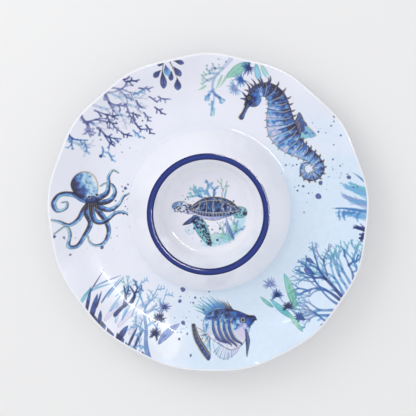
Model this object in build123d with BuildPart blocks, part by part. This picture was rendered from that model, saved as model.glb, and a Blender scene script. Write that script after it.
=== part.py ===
from build123d import *

import os
from math import cos, hypot, radians, sin

# Chip and dip server: a one-piece moulded melamine platter with a dip well raised in its middle, a printed
# foil pressed into the tray, another in the well's floor, and a coloured band on the well's lip.
# Millimetres, +Z up, origin on the table under the middle of the platter.

# ---- driving dimensions ------------------------------------------------------------------------------
WALL = 3.0  # melamine thickness
SKIN = 0.3  # thickness of the foils and of the band, let into the melamine

WELL_FLOOR_Z = 5.0  # top of the well's floor
WELL_PRINT_R = 43.0  # the well's flat, printed floor
WELL_CORNER_R = 49.5  # where the floor's line and the wall's line would meet
WELL_ROUND = 8.0  # radius between floor and wall

LIP_Z = 40.0  # top of the lip round the well
LIP_IN_R = 59.2
LIP_OUT_R = 66.0
LIP_ROUND = 3.0  # rounding of the lip's two shoulders
BAND_IN_R = 58.7  # the coloured band on the lip
BAND_OUT_R = 65.8
LIP_UNDER_ROUND = 2.5  # rounding inside the hollow under the lip

SLOPE_FOOT_R = 89.5  # where the well's outer slope would meet the tray floor
SLOPE_ROUND = 9.0
TRAY_Z = 7.0  # top of the tray floor
PRINT_IN_R = 87.6  # inner edge of the tray's printed foil

FOOT_IN_R = 98.0  # the ring that the platter stands on
FOOT_OUT_R = 102.0
FOOT_EDGE = 0.8  # rounding of its edges

FLAT_R = 106.0  # the tray floor is round and flat up to here
FLARE_R = 112.0  # the flat tray floor ends and the rim starts to rise
RIM_R = 169.3  # mean radius of the foil's outer edge, just inside the rounded rim
RIM_RISE = 27.0  # height of the edge above the tray floor
RIM_SLOPE = 33.0  # degrees, steepness of the rim at its edge
FLARE_LEAVE = 22.0  # how far the flare holds on to the floor's direction
FLARE_ARRIVE = 22.0  # and how far inward the edge's own slope is felt
SCALLOPS = 13
SCALLOP_PHASE = 7.0  # degrees from +X to the first crest
SCALLOP_OUT = 1.1  # each crest reaches this much further out
SCALLOP_DIP = 1.6  # hangs this much lower
SCALLOP_TILT = 5.0  # and is this many degrees flatter, than the rim's mean
OVAL_DRIFT = 0.8  # the outline isn't quite regular: this far out on two sides
OVAL_DRIFT_AT = -50.0  # degrees from +X to one of them
TRIANGLE_DRIFT = 0.7  # and this far out on three
TRIANGLE_DRIFT_AT = 47.0
EDGE_BULGE = 1.2  # the rounded edge stands this far out
POINTS_PER_SCALLOP = 8
FLARE_STEPS = 6  # sections between the tray floor and the rim's edge


# ---- the platter's round middle ----------------------------------------------------------------------
def wall_offset(start, end, distance):
    """A straight wall's line moved sideways, to the right of its direction."""
    run, rise = end[0] - start[0], end[1] - start[1]
    length = hypot(run, rise)
    shift = (rise / length * distance, -run / length * distance)
    return (start[0] + shift[0], start[1] + shift[1]), (end[0] + shift[0], end[1] + shift[1])


def at_height(line, z):
    """The radius at which a slanting line reaches a height."""
    (r0, z0), (r1, z1) = line
    return r0 + (r1 - r0) * (z - z0) / (z1 - z0)


def crossing(first, second):
    """Where two slanting lines meet."""
    (r0, z0), (r1, z1) = first
    (r2, z2), (r3, z3) = second
    lean_1 = (r1 - r0) / (z1 - z0)
    lean_2 = (r3 - r2) / (z3 - z2)
    z = (r2 - r0 + lean_1 * z0 - lean_2 * z2) / (lean_1 - lean_2)
    return r0 + lean_1 * (z - z0), z


SPARE = 5.0  # the outline runs on past the axis and past the flare, and is trimmed afterwards
well_wall = ((WELL_CORNER_R, WELL_FLOOR_Z), (LIP_IN_R, LIP_Z))
slope_wall = ((LIP_OUT_R, LIP_Z), (SLOPE_FOOT_R, TRAY_Z))
well_under = wall_offset(*well_wall, WALL)
slope_under = wall_offset(*slope_wall, WALL)
well_under_z = WELL_FLOOR_Z - WALL
tray_under_z = TRAY_Z - WALL
lip_under = crossing(well_under, slope_under)

with BuildSketch(Plane.XZ) as middle_outline:
    with BuildLine():
        FilletPolyline(
            (-SPARE, WELL_FLOOR_Z),
            (WELL_CORNER_R, WELL_FLOOR_Z),
            (LIP_IN_R, LIP_Z),
            (LIP_OUT_R, LIP_Z),
            (SLOPE_FOOT_R, TRAY_Z),
            (FLARE_R + SPARE, TRAY_Z),
            radius=[WELL_ROUND, LIP_ROUND, LIP_ROUND, SLOPE_ROUND],
        )
        Line((FLARE_R + SPARE, TRAY_Z), (FLARE_R + SPARE, tray_under_z))
        FilletPolyline(
            (FLARE_R + SPARE, tray_under_z),
            (at_height(slope_under, tray_under_z), tray_under_z),
            lip_under,
            (at_height(well_under, well_under_z), well_under_z),
            (-SPARE, well_under_z),
            radius=[SLOPE_ROUND + WALL, LIP_UNDER_ROUND, WELL_ROUND + WALL],
        )
        Line((-SPARE, well_under_z), (-SPARE, WELL_FLOOR_Z))
    make_face()


def skin_profile(inner_r, outer_r):
    """The outermost SKIN of the platter's upper side between two radii."""
    with BuildSketch(Plane.XZ) as profile:
        add(middle_outline.sketch)
        offset(middle_outline.sketch, amount=-SKIN, mode=Mode.SUBTRACT)
        with Locations(((inner_r + outer_r) / 2, LIP_Z / 2)):
            Rectangle(outer_r - inner_r, 2 * LIP_Z, mode=Mode.INTERSECT)
    return profile.sketch.faces().sort_by(Axis.Z)[-1]


well_profile = skin_profile(0, WELL_PRINT_R)
band_profile = skin_profile(BAND_IN_R, BAND_OUT_R)
tray_profile = skin_profile(PRINT_IN_R, FLARE_R)

with BuildSketch(Plane.XZ) as foot_profile:
    foot_top = TRAY_Z - WALL / 2
    with Locations(((FOOT_IN_R + FOOT_OUT_R) / 2, foot_top / 2)):
        Rectangle(FOOT_OUT_R - FOOT_IN_R, foot_top)
    fillet(foot_profile.vertices().group_by(Axis.Z)[0], FOOT_EDGE)


# ---- the scalloped rim -------------------------------------------------------------------------------
def crest(angle):
    """1 on the crest of a scallop, -1 between two."""
    return cos(radians(SCALLOPS * (angle - SCALLOP_PHASE)))


def rim_edge(angle):
    """Radius, height and steepness of the rim's edge, with its scallops and its slow hand-made drift."""
    oval = OVAL_DRIFT * cos(radians(2 * (angle - OVAL_DRIFT_AT)))
    triangle = TRIANGLE_DRIFT * cos(radians(3 * (angle - TRIANGLE_DRIFT_AT)))
    radius = RIM_R + SCALLOP_OUT * crest(angle) + oval + triangle
    height = TRAY_Z + RIM_RISE - SCALLOP_DIP * crest(angle)
    return radius, height, radians(RIM_SLOPE - SCALLOP_TILT * crest(angle))


def rim_curve(angle, depth):
    """Control points of the rim's flare, a depth under its upper side."""
    radius, height, slope = rim_edge(angle)
    edge = (radius + depth * sin(slope), height - depth * cos(slope))
    floor_z = TRAY_Z - depth
    leave = (FLARE_R + FLARE_LEAVE, floor_z)
    arrive = (edge[0] - FLARE_ARRIVE * cos(slope), edge[1] - FLARE_ARRIVE * sin(slope))
    return [(FLARE_R, floor_z), leave, arrive, edge]


def rim_point(angle, depth, share, bulge=0):
    """A point of the flare, a depth under its upper side: share runs from 0 at the floor to 1 at the edge."""
    rest = 1 - share
    weights = (rest**3, 3 * rest**2 * share, 3 * rest * share**2, share**3)
    radii, heights = zip(*rim_curve(angle, depth))
    radius = sum(weight * value for weight, value in zip(weights, radii))
    height = sum(weight * value for weight, value in zip(weights, heights))
    slope = rim_edge(angle)[2]
    radius += bulge * cos(slope)
    height += bulge * sin(slope)
    return radius * cos(radians(angle)), radius * sin(radians(angle)), height


def rim_loop(depth, share, bulge=0):
    """The closed line round the platter at one share of the flare, or standing out from its edge."""
    count = SCALLOPS * POINTS_PER_SCALLOP
    points = [rim_point(360 * i / count, depth, share, bulge) for i in range(count)]
    return Wire([Edge.make_spline(points, periodic=True, parameters=range(count + 1))])


def rim_faces(top_depth, under_depth, bulge):
    """The rim's skin between two depths: its two sides, its edge, and the flat floor inside them."""
    faces = []
    for depth in (top_depth, under_depth):
        loops = [rim_loop(depth, step / FLARE_STEPS) for step in range(FLARE_STEPS + 1)]
        faces += Shell.make_loft(loops).faces()
        faces.append(Face(loops[0], [Wire.make_circle(FLAT_R, Plane.XY.offset(TRAY_Z - depth))]))
    middle_depth = (top_depth + under_depth) / 2
    edge_loops = [rim_loop(top_depth, 1), rim_loop(middle_depth, 1, bulge), rim_loop(under_depth, 1)]
    return faces + Shell.make_loft(edge_loops).faces()


def joined(middle, faces):
    """One solid of a round middle, open at FLAT_R, and the rim's faces."""
    outer_side = middle.faces().filter_by(GeomType.CYLINDER).sort_by(lambda face: face.radius)[-1]
    return Solid(Shell([face for face in middle.faces() if face != outer_side] + faces))


def revolved_to_flat(profile):
    """A section turned about the well's axis, out to FLAT_R."""
    with BuildPart() as middle:
        with BuildSketch(Plane.XZ):
            add(profile)
            with Locations((FLAT_R / 2, LIP_Z / 2)):
                Rectangle(FLAT_R, 2 * LIP_Z, mode=Mode.INTERSECT)
        revolve(axis=Axis.Z)
    return middle.part


os.makedirs("parts", exist_ok=True)

# ---- platter body: the melamine moulding, with shallow seats for the two foils and the band ----------
with BuildSketch(Plane.XZ) as body_profile:
    add(middle_outline.sketch)
    for seat in (well_profile, band_profile, tray_profile):
        add(seat, mode=Mode.SUBTRACT)
    add(foot_profile.sketch)

with BuildPart() as platter_body:
    add(joined(revolved_to_flat(body_profile.sketch), rim_faces(SKIN, WALL, EDGE_BULGE)))
platter_body.part.label = "platter_body"
export_step(platter_body.part, "parts/platter_body.step")

# ---- tray print: the printed foil from the foot of the well's slope out to the rim's edge ------------
with BuildPart() as tray_print:
    add(joined(revolved_to_flat(tray_profile), rim_faces(0, SKIN, 0)))
tray_print.part.label = "tray_print"
export_step(tray_print.part, "parts/tray_print.step")

# ---- well print: the round foil in the well's floor --------------------------------------------------
with BuildPart() as well_print:
    with BuildSketch(Plane.XZ):
        add(well_profile)
    revolve(axis=Axis.Z)
well_print.part.label = "well_print"
export_step(well_print.part, "parts/well_print.step")

# ---- lip band: the coloured ring round the crest of the lip ------------------------------------------
with BuildPart() as lip_band:
    with BuildSketch(Plane.XZ):
        add(band_profile)
    revolve(axis=Axis.Z)
lip_band.part.label = "lip_band"
export_step(lip_band.part, "parts/lip_band.step")

for piece in (platter_body.part, tray_print.part, well_print.part, lip_band.part):
    print(piece.label, "valid:", piece.is_valid, "volume:", round(piece.volume), piece.bounding_box())
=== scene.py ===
"""A scalloped melamine chip and dip platter: a raised well, a cobalt band and watercolour sea-life prints."""

import math

import bpy
import numpy as np
from mathutils import Matrix, Vector


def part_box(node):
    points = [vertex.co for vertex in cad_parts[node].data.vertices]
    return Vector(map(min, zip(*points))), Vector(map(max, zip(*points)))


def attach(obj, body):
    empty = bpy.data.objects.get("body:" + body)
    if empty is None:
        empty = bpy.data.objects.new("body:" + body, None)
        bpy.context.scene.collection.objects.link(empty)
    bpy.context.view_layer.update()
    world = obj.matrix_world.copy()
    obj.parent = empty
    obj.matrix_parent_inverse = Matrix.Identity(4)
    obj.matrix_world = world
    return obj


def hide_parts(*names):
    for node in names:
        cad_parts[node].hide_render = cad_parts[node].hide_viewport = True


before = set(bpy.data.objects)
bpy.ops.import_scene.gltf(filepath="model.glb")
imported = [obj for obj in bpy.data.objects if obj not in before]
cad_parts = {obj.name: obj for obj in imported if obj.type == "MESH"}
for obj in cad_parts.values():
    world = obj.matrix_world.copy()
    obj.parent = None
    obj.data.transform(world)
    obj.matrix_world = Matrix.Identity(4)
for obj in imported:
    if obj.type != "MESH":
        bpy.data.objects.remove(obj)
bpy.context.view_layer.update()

MM = 0.001

# ---- the moulding's dimensions, in millimetres and degrees ----
WALL = 3.0
SKIN = 0.3
WELL_FLOOR_Z = 5.0
WELL_PRINT_R = 43.0
WELL_CORNER_R = 49.5
WELL_ROUND = 8.0
LIP_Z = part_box("lip_band")[1].z / MM
LIP_IN_R = 59.2
LIP_OUT_R = 66.0
LIP_ROUND = 3.0
BAND_IN_R = 58.7
BAND_OUT_R = 65.8
LIP_UNDER_ROUND = 2.5
SLOPE_FOOT_R = 89.5
SLOPE_ROUND = 9.0
TRAY_Z = 7.0
PRINT_IN_R = 87.6
FOOT_IN_R = 98.0
FOOT_OUT_R = 102.0
FOOT_EDGE = 0.8
FLARE_R = 112.0
RIM_R = 169.3
RIM_RISE = 27.0
RIM_SLOPE = 33.0
FLARE_LEAVE = 22.0
FLARE_ARRIVE = 22.0
SCALLOPS = 13
SCALLOP_PHASE = 7.0
SCALLOP_OUT = 1.1
SCALLOP_DIP = 1.6
SCALLOP_TILT = 5.0
RIM_DRIFTS = ((0.8, 2, -50), (0.7, 3, 47))
EDGE_BULGE = 1.2

# ---- how finely the meshes follow them ----
PATH_STEP = 1.6
ARC_STEP = math.radians(7)
BODY_COLUMNS = 416
BODY_FLARE_ROWS = 34
BODY_EDGE_ROWS = 9
BODY_UNDER_ROWS = 24
FOIL_UNDER_ROWS = 12
FOIL_UNDER_POINTS = 8
SMOOTH_ANGLE = math.radians(38)


# ---- profiles ----
def rounded_path(points, radii):
    """Samples along a line of straight runs whose inner corners are rounded."""
    corners = [np.array(p, float) for p in points]
    ends = [corners[0]]
    for before, corner, after, radius in zip(corners, corners[1:], corners[2:], radii):
        back = (before - corner) / np.linalg.norm(before - corner)
        ahead = (after - corner) / np.linalg.norm(after - corner)
        if radius == 0:
            ends += [corner]
            continue
        half = math.acos(np.clip(back @ ahead, -1, 1)) / 2
        centre = corner + (back + ahead) / np.linalg.norm(back + ahead) * radius / math.sin(half)
        first = corner + back * radius / math.tan(half)
        last = corner + ahead * radius / math.tan(half)
        a0 = math.atan2(*(first - centre)[::-1])
        turn = (math.atan2(*(last - centre)[::-1]) - a0 + math.pi) % (2 * math.pi) - math.pi
        steps = max(3, math.ceil(abs(turn) / ARC_STEP))
        angles = a0 + turn * np.linspace(0, 1, steps + 1)
        ends += [centre + radius * np.array((math.cos(a), math.sin(a))) for a in angles]
    ends.append(corners[-1])
    path = [ends[0]]
    for here, there in zip(ends, ends[1:]):
        count = max(1, math.ceil(np.linalg.norm(there - here) / PATH_STEP))
        path += [here + (there - here) * k / count for k in range(1, count + 1)]
    return np.array(path)


def offset_line(start, end, distance):
    """A line moved square to itself, to its right."""
    run, rise = end[0] - start[0], end[1] - start[1]
    length = math.hypot(run, rise)
    shift = np.array((rise, -run)) / length * distance
    return np.array(start) + shift, np.array(end) + shift


def radius_at(line, z):
    (r0, z0), (r1, z1) = line
    return r0 + (r1 - r0) * (z - z0) / (z1 - z0)


def crossing(first, second):
    """Where two lines of radius and height meet."""
    (r0, z0), (r1, z1) = first
    (r2, z2), (r3, z3) = second
    lean_1 = (r1 - r0) / (z1 - z0)
    lean_2 = (r3 - r2) / (z3 - z2)
    z = (r2 - r0 + lean_1 * z0 - lean_2 * z2) / (lean_1 - lean_2)
    return r0 + lean_1 * (z - z0), z


TOP_CORNERS = [
    (0, WELL_FLOOR_Z),
    (WELL_CORNER_R, WELL_FLOOR_Z),
    (LIP_IN_R, LIP_Z),
    (LIP_OUT_R, LIP_Z),
    (SLOPE_FOOT_R, TRAY_Z),
    (FLARE_R, TRAY_Z),
]
TOP_ROUNDS = [WELL_ROUND, LIP_ROUND, LIP_ROUND, SLOPE_ROUND]


def under_path():
    """The moulding's underside from the flare in to the axis, with the foot ring."""
    floor_z, well_z = TRAY_Z - WALL, WELL_FLOOR_Z - WALL
    slope = offset_line(TOP_CORNERS[3], TOP_CORNERS[4], WALL)
    well = offset_line(TOP_CORNERS[1], TOP_CORNERS[2], WALL)
    corners = [
        (FLARE_R, floor_z),
        (FOOT_OUT_R, floor_z),
        (FOOT_OUT_R, 0),
        (FOOT_IN_R, 0),
        (FOOT_IN_R, floor_z),
        (radius_at(slope, floor_z), floor_z),
        crossing(well, slope),
        (radius_at(well, well_z), well_z),
        (0, well_z),
    ]
    rounds = [0, FOOT_EDGE, FOOT_EDGE, 0, SLOPE_ROUND + WALL, LIP_UNDER_ROUND, WELL_ROUND + WALL]
    return rounded_path(corners, rounds)


def crest(angle):
    """The scallops' wave, 1 where they stand out and -1 between them."""
    return np.cos(np.radians(SCALLOPS * (angle - SCALLOP_PHASE)))


def rim_edge(angle):
    """Radius, height and steepness of the rim's edge at an angle in degrees."""
    drift = sum(size * np.cos(np.radians(waves * (angle - peak))) for size, waves, peak in RIM_DRIFTS)
    radius = RIM_R + SCALLOP_OUT * crest(angle) + drift
    height = TRAY_Z + RIM_RISE - SCALLOP_DIP * crest(angle)
    return radius, height, np.radians(RIM_SLOPE - SCALLOP_TILT * crest(angle))


def flare_points(angles, depth, shares):
    """Radius and height of the flare, one row per share from the floor to the edge, one column per angle."""
    radius, height, slope = rim_edge(angles)
    edge_r = radius + depth * np.sin(slope)
    edge_z = height - depth * np.cos(slope)
    floor_z = TRAY_Z - depth
    t = np.asarray(shares)[:, None]
    weights = ((1 - t) ** 3, 3 * (1 - t) ** 2 * t, 3 * (1 - t) * t**2, t**3)
    radii = (FLARE_R, FLARE_R + FLARE_LEAVE, edge_r - FLARE_ARRIVE * np.cos(slope), edge_r)
    heights = (floor_z, floor_z, edge_z - FLARE_ARRIVE * np.sin(slope), edge_z)
    return sum(w * v for w, v in zip(weights, radii)), sum(w * v for w, v in zip(weights, heights))


def all_round(path, angles):
    """The same path at every angle, as radius and height grids."""
    return (np.repeat(path[:, i : i + 1], len(angles), axis=1) for i in (0, 1))


def lowered(path, depth):
    """A path moved square to itself, downwards for a path that runs outward."""
    ahead = np.gradient(path, axis=0)
    ahead /= np.linalg.norm(ahead, axis=1)[:, None]
    return path + depth * np.stack((ahead[:, 1], -ahead[:, 0]), axis=1)


def between(path, inner_r, outer_r):
    """The stretch of an outward path between two radii, with its ends exactly there."""
    ends = [np.array((r, np.interp(r, path[:, 0], path[:, 1]))) for r in (inner_r, outer_r)]
    clear = 0.05
    inside = path[(path[:, 0] > inner_r + clear) & (path[:, 0] < outer_r - clear)]
    return np.vstack((ends[0], inside, ends[1]))


# ---- meshes ----
def even_angles(count):
    return np.arange(count) * 360 / count


def turned_mesh(name, radii, heights, angles, closed):
    """A mesh from grids of radius and height: rows follow the section, columns go round. A row of zero radius
    becomes one point, and a closed section joins its last row to its first."""
    rows, count = radii.shape
    turn = np.radians(angles)
    points = np.stack((radii * np.cos(turn), radii * np.sin(turn), heights), axis=-1)
    first, coords, total = [], [], 0
    for row in range(rows):
        pole = np.all(radii[row] < 1e-6)
        first.append((total, pole))
        coords.append(points[row, :1] if pole else points[row])
        total += len(coords[-1])
    quads, tris = [], []
    here = np.arange(count)
    there = (here + 1) % count
    pairs = [(row, row + 1) for row in range(rows - 1)] + ([(rows - 1, 0)] if closed else [])
    for low, high in pairs:
        (a, a_pole), (b, b_pole) = first[low], first[high]
        if a_pole and b_pole:
            continue
        if a_pole:
            tris.append(np.stack((np.full(count, a), b + here, b + there), axis=1))
        elif b_pole:
            tris.append(np.stack((a + here, np.full(count, b), a + there), axis=1))
        else:
            quads.append(np.stack((a + here, b + here, b + there, a + there), axis=1))
    return faces_to_mesh(name, np.vstack(coords) * MM, quads, tris)


def faces_to_mesh(name, coords, quads, tris):
    """A smooth mesh from coordinates and blocks of four-cornered and three-cornered faces."""
    mesh = bpy.data.meshes.new(name)
    loops = [block.ravel() for block in quads + tris]
    sizes = np.concatenate([np.full(len(block), block.shape[1]) for block in quads + tris])
    mesh.vertices.add(len(coords))
    mesh.vertices.foreach_set("co", coords.astype(np.float32).ravel())
    mesh.loops.add(int(sizes.sum()))
    mesh.loops.foreach_set("vertex_index", np.concatenate(loops).astype(np.int32))
    mesh.polygons.add(len(sizes))
    mesh.polygons.foreach_set("loop_start", (np.cumsum(sizes) - sizes).astype(np.int32))
    mesh.update(calc_edges=True)
    mesh.validate()
    mesh.polygons.foreach_set("use_smooth", np.ones(len(mesh.polygons), bool))
    mesh.set_sharp_from_angle(angle=SMOOTH_ANGLE)
    return mesh


def show(name, mesh, material, node):
    """The mesh as a piece that replaces a node."""
    piece = bpy.data.objects.new(name, mesh)
    bpy.context.scene.collection.objects.link(piece)
    mesh.materials.append(material)
    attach(piece, "root")
    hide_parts(node)
    return piece


def body_mesh():
    """The whole moulding as one closed skin, with its shallow seats under the foils and the band."""
    angles = even_angles(BODY_COLUMNS)
    top = rounded_path(TOP_CORNERS, TOP_ROUNDS)
    low = lowered(top, SKIN)
    stretches = [
        between(low, 0, WELL_PRINT_R),
        between(top, WELL_PRINT_R, BAND_IN_R),
        between(low, BAND_IN_R, BAND_OUT_R),
        between(top, BAND_OUT_R, PRINT_IN_R),
        between(low, PRINT_IN_R, FLARE_R),
    ]
    rows = [all_round(stretch, angles) for stretch in stretches]
    rows.append(flare_points(angles, SKIN, np.linspace(0, 1, BODY_FLARE_ROWS)[1:]))
    for u in np.linspace(0, 1, BODY_EDGE_ROWS)[1:-1]:
        radius, height = flare_points(angles, SKIN + (WALL - SKIN) * u, [1])
        slope = rim_edge(angles)[2]
        bulge = EDGE_BULGE * 4 * u * (1 - u)
        rows.append((radius + bulge * np.cos(slope), height + bulge * np.sin(slope)))
    rows.append(flare_points(angles, WALL, np.linspace(1, 0, BODY_UNDER_ROWS)[:-1]))
    rows.append(all_round(under_path(), angles))
    radii, heights = (np.vstack(grids) for grids in zip(*rows))
    return turned_mesh("platter_body_shell", radii, heights, angles, closed=False)


def foil_mesh(name, path, columns, flare_rows, cell):
    """A thin closed foil along an outward path, fine on its upper side to carry the print."""
    angles = even_angles(columns)
    length = np.concatenate(([0], np.cumsum(np.linalg.norm(np.diff(path, axis=0), axis=1))))
    samples = np.linspace(0, length[-1], max(2, int(length[-1] / cell)) + 1)
    upper = np.stack([np.interp(samples, length, path[:, i]) for i in (0, 1)], axis=1)
    under = lowered(path, SKIN)
    under[:, 0] = np.clip(under[:, 0], path[0, 0], None)
    rows = [all_round(upper, angles)]
    if flare_rows:
        rows.append(flare_points(angles, 0, np.linspace(0, 1, flare_rows)[1:]))
        rows.append(flare_points(angles, SKIN, np.linspace(1, 0, FOIL_UNDER_ROWS)[:-1]))
    stride = max(1, len(under) // FOIL_UNDER_POINTS)
    rows.append(all_round(under[::-1][::stride], angles))
    radii, heights = (np.vstack(grids) for grids in zip(*rows))
    return turned_mesh(name, radii, heights, angles, closed=True)


# ---- materials ----
def new_material(name):
    material = bpy.data.materials.new(name)
    material.use_nodes = True
    nodes = material.node_tree.nodes
    return material, nodes, material.node_tree.links, nodes["Principled BSDF"]


def noise_node(nodes, links, scale, detail, coords):
    noise = nodes.new("ShaderNodeTexNoise")
    noise.inputs["Scale"].default_value = scale
    noise.inputs["Detail"].default_value = detail
    links.new(coords, noise.inputs["Vector"])
    return noise.outputs["Fac"]


def radius_node(nodes, links, coords):
    """Distance from the platter's axis."""
    flat = nodes.new("ShaderNodeVectorMath")
    flat.operation = "MULTIPLY"
    flat.inputs[1].default_value = (1, 1, 0)
    links.new(coords, flat.inputs[0])
    reach = nodes.new("ShaderNodeVectorMath")
    reach.operation = "LENGTH"
    links.new(flat.outputs["Vector"], reach.inputs[0])
    return reach.outputs["Value"]


def range_node(nodes, links, value, before, after):
    """A value carried over from one range to another."""
    node = nodes.new("ShaderNodeMapRange")
    for name, limit in zip(("From Min", "From Max", "To Min", "To Max"), (*before, *after)):
        node.inputs[name].default_value = limit
    links.new(value, node.inputs["Value"])
    return node.outputs["Result"]


def ramp_node(nodes, links, share, first, last, *others):
    """A colour that changes with a share, through stops of a position and a colour."""
    node = nodes.new("ShaderNodeValToRGB")
    elements = node.color_ramp.elements
    for element, (position, colour) in zip(elements, (first, last)):
        element.position = position
        element.color = (*colour, 1)
    for position, colour in others:
        elements.new(position).color = (*colour, 1)
    links.new(share, node.inputs["Fac"])
    return node.outputs["Color"]


def orange_peel(nodes, links, shader, coords, strength):
    """The faint waviness of a pressed and glazed surface."""
    previous = None
    for scale, distance in ((38.0, 0.0012), (110.0, 0.0003)):
        bump = nodes.new("ShaderNodeBump")
        bump.inputs["Strength"].default_value = strength
        bump.inputs["Distance"].default_value = distance
        links.new(noise_node(nodes, links, scale, 2.0, coords), bump.inputs["Height"])
        if previous:
            links.new(previous.outputs["Normal"], bump.inputs["Normal"])
        previous = bump
    links.new(previous.outputs["Normal"], shader.inputs["Normal"])


def glazed_material(name, roughness, coat, peel):
    """A surface under its clear glaze, still to be coloured."""
    material, nodes, links, shader = new_material(name)
    shader.inputs["Roughness"].default_value = roughness
    shader.inputs["IOR"].default_value = 1.42
    shader.inputs["Coat Weight"].default_value = coat
    shader.inputs["Coat Roughness"].default_value = 0.04
    coords = nodes.new("ShaderNodeTexCoord").outputs["Object"]
    orange_peel(nodes, links, shader, coords, peel)
    return material, nodes, links, shader, coords


GLOSS = 0.09
COAT = 0.2
PEEL = 0.6
DULL_RIM = 0.3


def melamine_material():
    """Cool white, very slightly clouded."""
    material, nodes, links, shader, coords = glazed_material("melamine_white", GLOSS, COAT, PEEL)
    clouds = noise_node(nodes, links, 14.0, 3.0, coords)
    white = ramp_node(nodes, links, clouds, (0.3, (0.86, 0.868, 0.935)), (0.7, (0.89, 0.897, 0.955)))
    links.new(white, shader.inputs["Base Color"])
    return material


def print_material(name):
    """The foil: colours from the painted attribute, under a glaze that grows duller up the flare."""
    material, nodes, links, shader, coords = glazed_material(name, GLOSS, COAT, PEEL)
    paint = nodes.new("ShaderNodeVertexColor")
    paint.layer_name = "paint"
    links.new(paint.outputs["Color"], shader.inputs["Base Color"])
    flare = (FLARE_R * MM, (FLARE_R + FLARE_LEAVE) * MM)
    dulling = range_node(nodes, links, radius_node(nodes, links, coords), flare, (GLOSS, DULL_RIM))
    links.new(dulling, shader.inputs["Roughness"])
    return material


def band_material():
    """Mottled cobalt under the glaze, with painted shade towards both edges of the ring and a painted sheen
    along its middle.
    """
    material, nodes, links, shader, coords = glazed_material("cobalt_band", 0.12, 0.0, 0.2)
    ring_radii = (BAND_IN_R * MM, BAND_OUT_R * MM)
    across = range_node(nodes, links, radius_node(nodes, links, coords), ring_radii, (0, 1))
    # painted shade: deeper cobalt at both edges, where the lip's shoulders turn from the light; painted
    # sheen: lighter cobalt along the crest
    deep, sheen_cobalt = (0.003, 0.010, 0.12), (0.015, 0.041, 0.265)
    cobalt = ramp_node(nodes, links, across, (0.12, deep), (0.92, deep), (0.5, sheen_cobalt))
    blotches = noise_node(nodes, links, 60.0, 4.0, coords)
    mottle = nodes.new("ShaderNodeHueSaturation")
    links.new(range_node(nodes, links, blotches, (0, 1), (0.8, 1.2)), mottle.inputs["Value"])
    links.new(cobalt, mottle.inputs["Color"])
    links.new(mottle.outputs["Color"], shader.inputs["Base Color"])
    return material


# ---- the painter ----
INK = (0.07, 0.09, 0.23)
NAVY = (0.13, 0.19, 0.46)
INDIGO = (0.28, 0.32, 0.60)
COBALT = (0.18, 0.36, 0.70)
AZURE = (0.26, 0.52, 0.82)
SKY = (0.48, 0.73, 0.93)
AQUA = (0.46, 0.80, 0.88)
TEAL = (0.27, 0.66, 0.70)
SEAFOAM = (0.55, 0.81, 0.71)
PERIWINKLE = (0.58, 0.64, 0.86)
LAVENDER = (0.80, 0.79, 0.93)
GOLD = (0.84, 0.74, 0.54)
PALE = (0.93, 0.95, 0.99)
MIST = (0.80, 0.89, 0.96)
DUSK = (0.45, 0.50, 0.78)
MINT = (0.66, 0.88, 0.74)

FAR_OFF = 1e9
NEXT_TO_NOTHING = 1e-12


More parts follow.
